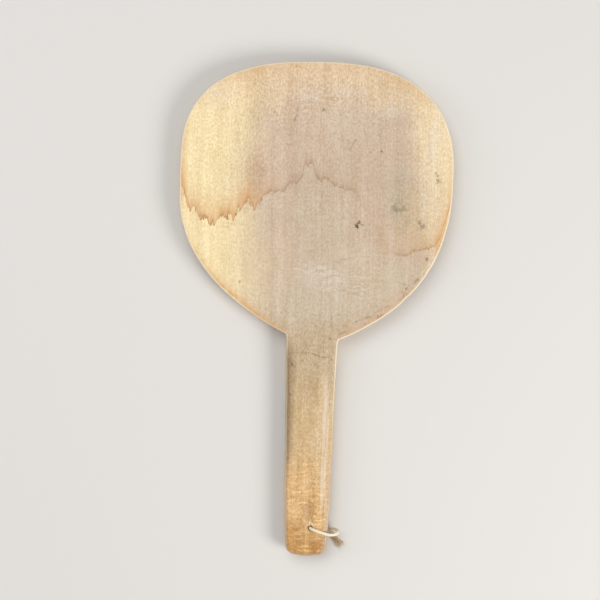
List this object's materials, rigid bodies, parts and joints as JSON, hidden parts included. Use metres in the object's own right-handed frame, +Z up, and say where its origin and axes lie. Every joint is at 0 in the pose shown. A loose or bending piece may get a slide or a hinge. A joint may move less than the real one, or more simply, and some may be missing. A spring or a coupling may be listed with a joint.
{
  "type": "butter paddle",
  "caption": "Wooden butter paddle: a broad rounded blade and a straight handle cut from a single board, with a short knotted hanging string through a hole near the handle's end.",
  "frame": {"origin": "on the surface that the paddle lies on, under the middle of the board's own box", "axes": "+Z up out of the working face, +Y from the handle towards the blade's top, +X to the right as seen from above"},
  "size_m": [0.169, 0.305, 0.0158],
  "materials": {
    "board": "old scrubbed pale hardwood, dry and water-stained",
    "twine": "soft twisted cotton twine with frayed ends"
  },
  "bodies": {
    "paddle": {"paddle": "board"},
    "string": {"string_front": "twine", "string_knot": "twine", "string_back": "twine", "string_tail_front": "twine", "string_tail_back": "twine"}
  },
  "joints": [
    {"name": "string_swivel", "type": "hinge", "parent": "paddle", "child": "string", "pos_m": [0.0023, -0.1347, 0.008], "axis": [0, 0, 1], "range_deg": [-26, 40]}
  ]
}
